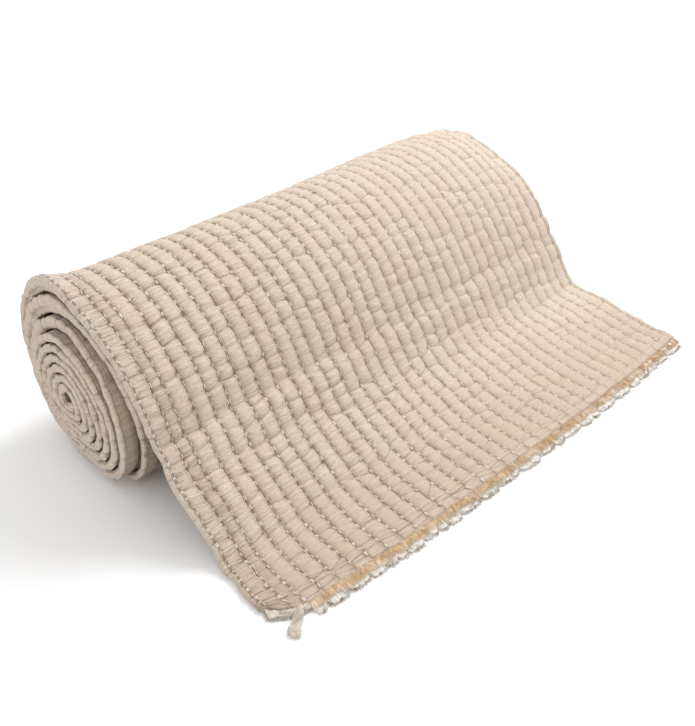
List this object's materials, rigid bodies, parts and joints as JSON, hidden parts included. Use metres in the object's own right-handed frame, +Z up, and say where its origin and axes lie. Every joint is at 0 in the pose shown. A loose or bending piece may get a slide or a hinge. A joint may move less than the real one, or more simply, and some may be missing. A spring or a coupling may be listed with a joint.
{
  "type": "rolled quilted bedspread",
  "caption": "Channel-quilted cotton bedspread wound into a roll, with its frayed loose end draped down the front and out along the floor.",
  "frame": {"origin": "middle of the flat spot on the floor that the roll stands on, halfway along the roll", "axes": "+X along the roll, -Y towards the loose end lying on the floor in front of it, +Z up"},
  "size_m": [0.7234, 0.5092, 0.2343],
  "materials": {
    "beige_cotton": "matte",
    "tan_scrim": "matte",
    "white_wadding": "matte"
  },
  "bodies": {
    "root": {"quilted_cloth": "beige_cotton", "tan_scrim_edge": "tan_scrim", "wadding_tufts": "white_wadding", "corner_tail": "white_wadding"}
  },
  "joints": []
}
